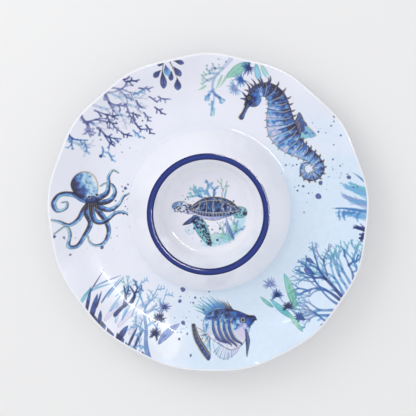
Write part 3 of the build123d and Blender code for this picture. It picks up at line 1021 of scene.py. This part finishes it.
def coral_garden_left(paper):
    """Navy and periwinkle corals that reach in from the rim at the upper left."""
    ghosts = (
        ((-150, 78), -30, 11), ((-136, 100), -22, 12), ((-122, 116), -25, 12), ((-108, 130), -20, 12),
        ((-96, 128), -12, 12), ((-104, 112), -40, 11), ((-90, 116), -30, 10),
    )
    haze = (PERIWINKLE, SKY, LAVENDER, MIST)
    grow(paper, coral, ghosts, 1.7, haze, forks=2, lean=34, strength=0.45, fingers=2, soft=1.2)
    trees = (
        ((-136, 106), -80, 12, 1.7, (NAVY, INDIGO, DUSK)),
        ((-134, 97), 2, 12, 1.3, (DUSK, INDIGO, DUSK)),
        ((-111, 131), -60, 13, 1.7, (NAVY, INDIGO, DUSK)),
        ((-108, 130), -10, 13, 1.1, (DUSK, PERIWINKLE, DUSK)),
        ((-104, 135), 0, 11, 1.2, (INDIGO, DUSK, PERIWINKLE)),
        ((-150, 88), -78, 9, 1.4, (NAVY, COBALT, AZURE)),
        ((-122, 110), -30, 11, 1.2, (DUSK, INDIGO, NAVY)),
        ((-92, 116), -56, 10, 1.3, (INDIGO, DUSK, NAVY)),
        ((-122, 90), -42, 12, 1.5, (INDIGO, NAVY, COBALT)),
    )
    grow(paper, coral, trees, forks=2, lean=34, strength=0.82, fingers=1, soft=0.6, end=0.9)
    bits = (
        ((-80, 120), -70), ((-72, 106), -62), ((-66, 124), -12), ((-60, 112), -50), ((-106, 94), -65),
        ((-82, 94), -30), ((-110, 80), -62), ((-97, 84), -52), ((-88, 141), 10), ((-98, 147), -20),
        ((-76, 134), -12), ((-84, 106), -80), ((-56, 124), -40), ((-70, 92), -58),
    )
    for place, heading in bits:
        colours = (NAVY, INDIGO) if paper.rng.random() < 0.5 else (INDIGO, PERIWINKLE)
        twig(paper, place, heading, 10, 0.95, colours, strength=0.86, soft=0.6)
    shoots = (((-84, 86), -40), ((-112, 62), -50), ((-118, 68), -62), ((-82, 128), 0), ((-136, 74), -70))
    grow(paper, twig, shoots, length=10, width=1.1, colours=(AZURE, SKY), strength=0.7, soft=0.8)
    splatter(paper, (-100, 80), 16, 22, (NAVY, COBALT), 0.8)
    paper.dot((-120, 58), 1.5, NAVY)


def dark_leaves(paper):
    """Leaves, widest near their tips, that hang from the rim at the top left."""
    for stem in (((-48, 162), (-49, 156), (-50, 151)), ((-41, 163), (-38, 155), (-35, 144))):
        paper.stroke(flow(stem), (0.5, 0.4), INK, GOLD, 0.9)
    leaves = (
        ((-50, 154), -90, 21, 7, 0), ((-51, 154), -140, 12, 5.5, 8), ((-38, 158), -52, 13, 6.5, -10),
        ((-40, 153), -104, 11, 5, 6), ((-35, 146), -88, 15, 7.5, 0), ((-37, 164), -14, 11, 4.8, 0),
        ((-47, 162), 205, 8, 3.2, 0),
    )
    shades = (INK, NAVY, (0.30, 0.36, 0.62))
    grow(paper, leaf, leaves, stops=shades, strength=0.96, vein=INK, belly=1.7)
    leaf(paper, (-46, 160), -84, 13, 7, 8, (COBALT, AZURE, SKY), 0.95, INK, 1.6)


def seaweed_top(paper):
    """Lavender and green weed at the top, with leaves and three spiky flowers."""
    haze = (0.66, 0.72, 0.90)
    trunk = flow([(24, 166), (15, 156), (6, 146), (3, 136), (5, 124), (3, 108)], steps=6)
    paper.stroke(trunk, (2.2, 1.5, 1.2, 1.3, 0.8), haze, SKY, 0.5, 0.9, 0.25)
    paper.stroke(trunk[6:-8] + (0.8, 0), (0.5, 0.9, 0.4), SEAFOAM, AZURE, 0.5, pool=0)
    weeds = (
        ((6, 146), 188, 9, 1.5, (haze, PERIWINKLE, SEAFOAM)),
        ((10, 150), 162, 9, 1.5, (PERIWINKLE, SKY, SEAFOAM)),
        ((15, 156), 172, 8, 1.4, (SKY, SEAFOAM, haze)),
        ((4, 132), -120, 8, 1.9, (PERIWINKLE, AZURE, SKY)),
        ((5, 128), -66, 8, 1.9, (AZURE, COBALT, SKY)),
        ((3, 118), -95, 8, 1.6, (AZURE, SKY, AQUA)),
    )
    grow(paper, coral, weeds, forks=1, lean=34, strength=0.65, fingers=2, soft=1, end=0.7)
    grasses = (((22, 152), 232, 22), ((14, 148), 240, 18), ((-4, 136), 205, 10))
    grow(paper, blade, grasses, 1.5, SEAFOAM, MINT, bends=(20, -30), strength=0.8)
    leaf(paper, (44, 162), 206, 30, 10.5, 14, (TEAL, SEAFOAM, (0.45, 0.75, 0.66), SEAFOAM), 0.88, TEAL)
    leaf(paper, (50, 164), -82, 24, 6.5, 10, (TEAL, AQUA, SKY), 0.85, None, 1.4)
    leaf(paper, (56, 160), -66, 20, 5, 14, (SEAFOAM, AQUA, MIST), 0.7)
    splatter(paper, (8, 164), 6, 8, (TEAL, SKY, COBALT), 1.1)
    paper.stroke(flow([(43, 158), (36, 146), (30, 136)]), (0.5, 0.35), NAVY, SKY, 0.8)
    thistle(paper, (43, 157), 8.5, NAVY, COBALT, 215, 19, 280)
    thistle(paper, (35, 144), 8.5, COBALT, AZURE, 215, 21, 250)
    thistle(paper, (28, 134), 9.5, PERIWINKLE, SKY, 215, 23, 230, 0.8)


def fronds_right(paper):
    """Pale blue fronds that reach in from the rim on the right."""
    blade(paper, (168, 33), 128, 18, 1.2, COBALT, SKY, 24, 0.85)
    fronds = (
        ((171, 20), 158, 27, 5.2, SKY, AQUA, 8, 0.6), ((171, 24), 150, 22, 3, AQUA, SKY, 16, 0.6),
        ((172, 9), 167, 29, 5, PERIWINKLE, SKY, -5, 0.5), ((172, 13), 186, 22, 2.6, SKY, SKY, -8, 0.55),
        ((172, -3), 177, 29, 4.6, SKY, SKY, 6, 0.62), ((171, 3), 181, 36, 2.2, AZURE, AZURE, 3, 0.72),
    )
    grow(paper, frond, fronds)
    for k in range(5):
        twig(paper, (163 - 5 * k, 0.5 - 0.4 * k), -125, 7, 1.3, (AZURE, SKY), 0.65, 0.8)
    frond(paper, (171, -17), 170, 14, 3.2, NAVY, INDIGO, 14, 0.9)
    twig(paper, (166, -21), 240, 6, 1.4, (NAVY, NAVY), 0.9)


def fan_coral(paper):
    """The big blue fans at the lower right."""
    pale = (
        ((145, -86), 122, 15), ((152, -75), 115, 14), ((160, -63), 106, 12), ((144, -90), 136, 14),
        ((163, -57), 98, 8), ((149, -81), 108, 13),
    )
    blues = ((0.35, 0.55, 0.84), AZURE, SKY, SKY, AQUA)
    grow(paper, coral, pale, 1.7, blues, forks=3, lean=22, strength=0.85, fingers=1, soft=0.6)
    deep = (
        ((155, -70), 84, 13, 1.4, (NAVY, COBALT, AZURE), 2, 22, 0.92),
        ((142, -88), 138, 18, 2, (NAVY, NAVY, COBALT, AZURE, SKY), 4, 22, 0.95),
        ((140, -92), 154, 18, 1.8, (NAVY, COBALT, COBALT, AZURE), 3, 22, 0.95),
        ((130, -72), 112, 15, 1.3, (INDIGO, COBALT, PERIWINKLE), 2, 20, 0.85),
    )
    grow(paper, coral, deep, fingers=1)
    low = (((139, -97), 172, 18), ((137, -103), 184, 18), ((133, -109), 180, 15), ((128, -116), 172, 13))
    blues = (COBALT, AZURE, PERIWINKLE, SKY)
    grow(paper, coral, low, 1.4, blues, forks=3, lean=22, strength=0.85, fingers=1)
    tips = (((118, -73), 156, 15, 6), ((117, -62), 144, 12, 4.5))
    grow(paper, leaf, tips, bend=0, stops=(NAVY, COBALT, INDIGO), strength=0.95, belly=1.9)
    bits = (((134, -112), 205), ((127, -119), 190))
    grow(paper, twig, bits, length=6, width=1.1, colours=(INK, NAVY), strength=0.95)


def leaves_low_right(paper):
    """Sea-green leaves and small blue thistles beside the fans."""
    leaves = (
        ((95, -111), 103, 41, 9, 10, (SEAFOAM, (0.38, 0.68, 0.60), SEAFOAM, AQUA), 0.92, TEAL),
        ((94, -121), 152, 34, 6.5, -16, (TEAL, TEAL, AQUA), 0.9, TEAL),
        ((71, -110), 152, 19, 4, -20, (TEAL, SEAFOAM), 0.9),
        ((102, -130), 136, 20, 5, 0, (SEAFOAM, MINT), 0.85, TEAL),
    )
    grow(paper, leaf, leaves)
    stem = flow([(100, -119), (87, -109), (75, -97), (66, -86)])
    paper.stroke(stem, (0.55, 0.35), COBALT, PERIWINKLE, 0.85)
    heads = (
        ((100, -119), 5.5, COBALT, NAVY), ((87, -109), 6.5, NAVY, INK), ((75, -97), 7.5, NAVY, COBALT),
        ((67, -85), 8.5, PERIWINKLE, (0.5, 0.58, 0.85)),
    )
    grow(paper, thistle, heads, heading=100, rays=21, fan=250, strength=0.92)


def rim_blocks(paper):
    """Dark slanted blocks along the rim at the lower left: first angle, last angle and inner radius."""
    outer_r = 170.5
    blocks = (
        (221.4, 225, 166.4), (225.8, 228.2, 165.6), (228.9, 232.4, 166.6), (233, 236.6, 165),
        (237.5, 239.2, 166.8), (240.6, 242.2, 166), (244.4, 245.6, 166.8),
    )
    for first, last, inner_r in blocks:
        corners = ((first, inner_r), (first + 0.8, outer_r), (last + 0.9, outer_r), (last, inner_r + 0.7))
        paper.patch([polar(*corner) for corner in corners], (INK, NAVY, COBALT), first + 90, 0.95)


def meadow_left(paper):
    """Grasses and dark blades at the lower left, over white blots of painted reflection, glare on the glaze.
    """
    # painted reflection: white blots that stand in for the glaze's glare at the lower left
    glare_blots = (
        ((-104, -90), 15), ((-92, -104), 17), ((-78, -120), 18), ((-60, -132), 18), ((-44, -146), 15),
        ((-70, -104), 12),
    )
    white = ((0.94, 0.96, 1), (0.97, 0.98, 1))
    grow(paper, blot, glare_blots, white, 0.8, 0.35, strength=0.85, ragged=3, soft=5, pool=0, run=0.5)
    grasses = (((-112, -118), 48, 36), ((-98, -126), 42, 44), ((-86, -134), 50, 40))
    grow(paper, blade, grasses, 3.4, (0.86, 0.84, 0.94), LAVENDER, bends=(-12, 10), strength=0.8)
    stems = (
        ((-138, -99), 66, 17, 2, AQUA, TEAL), ((-135, -91), 22, 34, 1.2, AQUA, SKY),
        ((-126, -86), 28, 30, 1.1, SKY, INDIGO), ((-131, -92), 66, 28, 0.8, NAVY, INDIGO),
        ((-118, -102), 58, 32, 1.3, COBALT, SKY), ((-112, -98), 58, 28, 1, SKY, COBALT),
        ((-108, -112), 62, 40, 1.2, SKY, PERIWINKLE), ((-96, -122), 66, 34, 1, AZURE, SKY),
        ((-104, -98), 40, 26, 1, AQUA, SKY), ((-86, -120), 74, 30, 1, SKY, AQUA),
    )
    grow(paper, blade, stems, bends=(-14, 8), strength=0.85)
    rim_blocks(paper)
    bars = (
        ((-131, -110), 92, 24, 3), ((-126, -118), 88, 25, 5), ((-117, -122), 100, 13, 3.4),
        ((-122, -106), 84, 15, 1.5), ((-98, -139), 56, 14, 6), ((-87, -146), 68, 17, 2.6),
        ((-81, -149), 68, 18, 2.6),
    )
    grow(paper, leaf, bars, bend=-10, stops=(INK, NAVY, COBALT), strength=0.97)
    veils = (
        ((-110, -112), 40, 26, 6), ((-96, -120), 58, 28, 5), ((-84, -130), 64, 26, 6),
        ((-74, -138), 104, 24, 5), ((-90, -100), 70, 22, 4), ((-102, -124), 86, 20, 4),
    )
    grow(paper, leaf, veils, bend=8, stops=(SKY, MIST, PALE, SKY), strength=0.6)


def tree_coral_left(paper):
    """A navy branch and a pale blue tree of coral in the meadow, with a leaf and thistles at its foot."""
    coral(paper, (-92, -98), 96, 9, 1.1, (SKY, SKY, AQUA), 2, 30, 0.6, 2)
    branches = (
        ((-103, -116), (-95, -109), (-86, -104), (-83, -96), (-79, -88)),
        ((-94, -108), (-93, -98), (-95, -87)),
        ((-86, -104), (-83, -97), (-88, -88)),
    )
    for branch in branches:
        paper.stroke(flow(branch), (2.3, 1.3, 0.7), (0.10, 0.17, 0.42), NAVY, 0.95)
    bits = (((-93, -98), 60), ((-82, -95), 30), ((-80, -90), 110))
    grow(paper, twig, bits, length=8, width=0.8, colours=(NAVY, COBALT), strength=0.9)
    trunk = flow([(-60, -166), (-68, -148), (-70, -132), (-72, -117), (-70, -108)], steps=6)
    paper.stroke(trunk, (2.7, 1.9, 1.6, 1.2), COBALT, SKY, 0.75, pool=0.3)
    boughs = (
        ((-72, -117), (-63, -114), (-54, -110), (-47, -91)), ((-71, -110), (-64, -102), (-56, -86)),
        ((-72, -112), (-76, -100), (-78, -91), (-75, -81)), ((-70, -131), (-62, -127), (-56, -124)),
        ((-69, -138), (-77, -131), (-82, -128)), ((-66, -150), (-76, -146), (-84, -147)),
    )
    for bough in boughs:
        line = flow(bough, steps=6)
        paper.stroke(line, (1.2, 0.8, 0.5), (0.45, 0.66, 0.9), SKY, 0.75)
        for share, turn in ((0.3, 45), (0.5, -42), (0.72, 38), (0.95, -30)):
            spot = int(share * (len(line) - 2))
            ahead = line[spot + 1] - line[spot]
            heading = math.degrees(math.atan2(ahead[1], ahead[0])) + turn
            twig(paper, line[spot], heading, 8, 0.7, (SKY, SKY), 0.7)
    leaf(paper, (-56, -148), 46, 30, 8, -12, (COBALT, PERIWINKLE, (0.5, 0.5, 0.78), PERIWINKLE), 0.92, NAVY)
    leaf(paper, (-49, -146), 64, 17, 4.5, 0, (PERIWINKLE, SKY), 0.8)
    paper.stroke(flow([(-60, -140), (-56, -124), (-50, -111)]), (0.55, 0.4), INDIGO, strength=0.9)
    heads = (
        ((-60, -139), 6.5, NAVY, INK), ((-56, -123), 7, NAVY, INK), ((-50, -111), 7.5, INDIGO, PERIWINKLE)
    )
    grow(paper, thistle, heads, heading=80, rays=21, fan=290, strength=0.94)


def tray_picture():
    """The picture round the tray: animals, corals and weed on a washed ground."""
    paper = Paper(half=173, cell=0.3, seed=21)
    for part in (sea_wash, coral_garden_left, dark_leaves, seaweed_top, fronds_right, fan_coral):
        part(paper)
    for part in (leaves_low_right, meadow_left, tree_coral_left):
        part(paper)
    octopus(paper, (-129.5, 7))
    seahorse(paper)
    fish(paper, (20.5, -132))
    flicks = (
        ((-92, 8), 10, 26), ((-146, -34), 12, 14), ((128, 88), 12, 16), ((118, 34), 14, 26),
        ((88, 44), 8, 10), ((150, 34), 8, 8), ((-22, -96), 12, 24), ((-10, -132), 9, 16),
        ((-28, -136), 8, 14), ((-112, -30), 10, 12),
    )
    grow(paper, splatter, flicks, colours=(NAVY, COBALT, INDIGO, PERIWINKLE), largest=0.95)
    spots = (
        ((122, 29), 2.4), ((120, 14), 3.1), ((-29.5, -91), 2.7), ((-33, -104), 2.1), ((-119, -44), 1.9),
        ((-166, -26), 1.7), ((134, 105), 1.6), ((-29.5, -128), 2), ((103, 25), 1.5), ((-93, 22), 1.7),
        ((-89, -1), 1.7), ((152, 38), 2), ((-16, -100), 1.3), ((-33.5, -145), 1.4), ((-20, -159), 1.2),
    )
    grow(paper, Paper.dot, spots, colour=(0.22, 0.27, 0.56))
    return paper


def lagoon_wash(paper):
    """Almost white, with a green and blue wash at the lower right."""
    x, y = paper.everywhere()
    paper.rgb[:] = ramp(0.5 + 1.2 * (paper.cloud - 0.5), ((0.925, 0.925, 0.968), (0.945, 0.945, 0.98)))
    edge = np.hypot(x - 3, y + 3) + 9 * (paper.mottle - 0.5)
    wash = np.clip((edge - 24) / 7, 0, 1) * np.clip((43 - np.hypot(x, y)) / 2.5, 0, 1)
    wash *= np.clip((x - 0.7 * y - 14) / 14, 0, 1) * np.clip((6 - y) / 12, 0, 1)
    wash *= 0.42 + 0.9 * (paper.mottle - 0.5)
    sea = ramp(paper.cloud + 0.9 * (paper.mottle - 0.5), (SEAFOAM, TEAL, AQUA, MIST))
    paper.rgb[:] += (sea - paper.rgb) * np.clip(wash, 0, 0.9)[..., None]
    puddles = (
        ((8, -33), 8, (SEAFOAM, MIST)), ((20, -30), 7, (AQUA, MIST)), ((-22, -22), 6, (MIST, MIST)),
        ((-8, 22), 5, (AQUA, MIST)), ((30, -20), 7, (SEAFOAM, MIST)),
    )
    grow(paper, blot, puddles, 0.6, 0.5, strength=0.55, ragged=2, soft=3, pool=0.3, run=0.8)


def well_picture():
    """The picture in the well: a turtle over a little coral and weed."""
    paper = Paper(half=44, cell=0.15, seed=8)
    lagoon_wash(paper)
    corals = (
        ((2, 12), 124, 10, 1.9, (AZURE, SKY, SKY), 2, 34, 0.8, 2, 1, 0.7),
        ((-3, 12), 150, 9, 1.8, (SKY, AZURE, AQUA), 2, 32, 0.75, 2, 1, 0.7),
        ((5, 14), 96, 8, 1.5, (COBALT, AZURE, SKY), 1, 36, 0.8, 2),
        ((14, 13), 80, 9, 1.2, (SKY, LAVENDER, SEAFOAM), 2, 26, 0.65, 1),
        ((24, -31), 62, 9, 1.4, (PERIWINKLE, AZURE, SKY), 2, 32, 0.8, 2, 0.8),
        ((17, -30), 104, 8, 1.3, (AQUA, SEAFOAM, MIST), 2, 30, 0.7, 2),
        ((31, -22), 96, 8, 1.4, (AQUA, SEAFOAM, MIST), 2, 28, 0.65, 1),
    )
    grow(paper, coral, corals)
    blade(paper, (17, 13), 82, 17, 1.3, SKY, SEAFOAM, -8, 0.8)
    coral(paper, (22, -34), 66, 8, 1.2, (SEAFOAM, MINT), 2, 30, 0.7, 1)
    blade(paper, (27, -32), 116, 28, 2, COBALT, PERIWINKLE, -14, 0.85)
    blade(paper, (22, -32), 106, 22, 1.3, PERIWINKLE, SKY, -10, 0.8)
    leaf(paper, (28, -34), 158, 26, 5, 12, (AQUA, SEAFOAM, MIST), 0.7)
    splatter(paper, (-12, 10), 14, 26, (NAVY, COBALT, INK), 0.7)
    turtle(paper)
    splatter(paper, (6, -20), 13, 40, (NAVY, COBALT, PERIWINKLE, INK), 0.75)
    spots = (((9, -34), 1.7), ((-17, -21), 1.2), ((12, -21), 1.2), ((27, 10), 1))
    grow(paper, Paper.dot, spots, colour=NAVY)
    return paper


# ---- the pieces ----
def to_linear(colours):
    """Screen colours as amounts of light."""
    colours = np.asarray(colours, float)
    return np.where(colours <= 0.04045, colours / 12.92, ((colours + 0.055) / 1.055) ** 2.4)


def paint_attribute(mesh, paint):
    """Stores the colour that the paint has at each of the mesh's points."""
    coords = np.empty(len(mesh.vertices) * 3, np.float32)
    mesh.vertices.foreach_get("co", coords)
    xy = coords.reshape(-1, 3)[:, :2] / MM
    layer = mesh.color_attributes.new("paint", "FLOAT_COLOR", "POINT")
    colours = np.ones((len(xy), 4), np.float32)
    colours[:, :3] = to_linear(paint(xy))
    layer.data.foreach_set("color", colours.ravel())


def placed(picture, shrink, shift, edge_r):
    """A picture a little smaller and moved, easing back to its own size where it runs off an edge."""
    ease = 22.0

    def paint(xy):
        hold = np.clip((edge_r - np.hypot(xy[:, 0], xy[:, 1])) / ease, 0, 1)[:, None]
        return picture.sample(xy * (1 + (1 / shrink - 1) * hold) - np.array(shift) * hold)

    return paint


top_path = rounded_path(TOP_CORNERS, TOP_ROUNDS)
show("platter_body_shell", body_mesh(), melamine_material(), "platter_body")

tray_path = between(top_path, PRINT_IN_R, FLARE_R)
tray = foil_mesh("tray_print_foil", tray_path, columns=2016, flare_rows=150, cell=0.45)
paint_attribute(tray, placed(tray_picture(), shrink=0.977, shift=(0.4, 2.1), edge_r=RIM_R))
show("tray_print_foil", tray, print_material("tray_print_ink"), "tray_print")

well_path = between(top_path, 0, WELL_PRINT_R)
well = foil_mesh("well_print_foil", well_path, columns=720, flare_rows=0, cell=0.35)
paint_attribute(well, placed(well_picture(), shrink=0.967, shift=(0, 0), edge_r=math.inf))
show("well_print_foil", well, print_material("well_print_ink"), "well_print")

band_path = between(top_path, BAND_IN_R, BAND_OUT_R)
band = foil_mesh("lip_band_ring", band_path, columns=360, flare_rows=0, cell=0.4)
ring = show("lip_band_ring", band, band_material(), "lip_band")


# ---- the stage, the light and the camera ----
def floor(size, colour):
    bpy.ops.mesh.primitive_plane_add(size=size, location=(0, 0, 0))
    plane = bpy.context.object
    plane.name = "studio_floor"
    material, _, _, shader = new_material("studio_floor_pale")
    shader.inputs["Roughness"].default_value = 0.8
    shader.inputs["Base Color"].default_value = (*colour, 1)
    plane.data.materials.append(material)


def area_light(name, azimuth, elevation, distance, width, height, power, colour=(1, 1, 1)):
    """A soft rectangle of light that faces the origin."""
    data = bpy.data.lights.new(name, "AREA")
    data.shape = "RECTANGLE"
    data.size = width
    data.size_y = height
    data.energy = power
    data.color = colour
    light = bpy.data.objects.new(name, data)
    bpy.context.scene.collection.objects.link(light)
    a, e = math.radians(azimuth), math.radians(elevation)
    place = Vector((math.cos(a) * math.cos(e), math.sin(a) * math.cos(e), math.sin(e))) * distance
    light.location = place
    light.rotation_euler = place.to_track_quat("Z", "Y").to_euler()
    return light


def only(piece):
    """A light's list of the pieces it reaches, with one piece in it."""
    reached = bpy.data.collections.new("reached_" + piece.name)
    reached.objects.link(piece)
    return reached


def sky(strength, colour):
    world = bpy.data.worlds.new("studio_sky")
    bpy.context.scene.world = world
    world.use_nodes = True
    background = world.node_tree.nodes["Background"]
    background.inputs["Color"].default_value = (*colour, 1)
    background.inputs["Strength"].default_value = strength


def camera():
    """Almost straight above the platter, leaning towards the top of the picture and a little to its right."""
    lean_up, lean_right = math.radians(8.0), math.radians(2.0)
    aim_up, aim_left = 6.0905 * MM, 0.4274 * MM
    lens, sensor = 250.0, 36.0
    frame_width = 0.4445
    distance = frame_width * lens / sensor
    data = bpy.data.cameras.new("camera")
    data.lens = lens
    data.sensor_width = sensor
    eye = bpy.data.objects.new("camera", data)
    bpy.context.scene.collection.objects.link(eye)
    back = Vector((math.tan(lean_right), math.tan(lean_up), 1)).normalized()
    right = Vector((0, 1, 0)).cross(back).normalized()
    up = back.cross(right)
    rim_centre = Vector((0, 0, (TRAY_Z + RIM_RISE) * MM))
    target = rim_centre + up * aim_up - right * aim_left
    turn = Matrix((right, up, back)).transposed().to_4x4()
    eye.matrix_world = Matrix.Translation(target + back * distance) @ turn
    bpy.context.scene.camera = eye


bpy.context.scene.view_settings.view_transform = "Standard"
floor(size=6, colour=(0.86, 0.86, 0.862))
sky(strength=0.875, colour=(0.985, 0.99, 1.0))
key = area_light("key_upper_left", azimuth=139, elevation=38, distance=1.8, width=1.1, height=1.1,
                 power=7.0, colour=(1.0, 0.995, 0.985))
key.visible_glossy = False
arc_gleam = area_light("gleam_upper_right", azimuth=47, elevation=56, distance=1.6, width=0.9,
                       height=0.045, power=13)
spot_gleam = area_light("gleam_upper_left", azimuth=130, elevation=42, distance=1.6, width=0.06,
                        height=0.03, power=0.6)
band_gleam = area_light("gleam_band", azimuth=31, elevation=75, distance=1.6, width=1.2, height=0.1,
                        power=50)
for gleam in (arc_gleam, spot_gleam, band_gleam):
    gleam.visible_diffuse = False
band_gleam.light_linking.receiver_collection = only(ring)
camera()
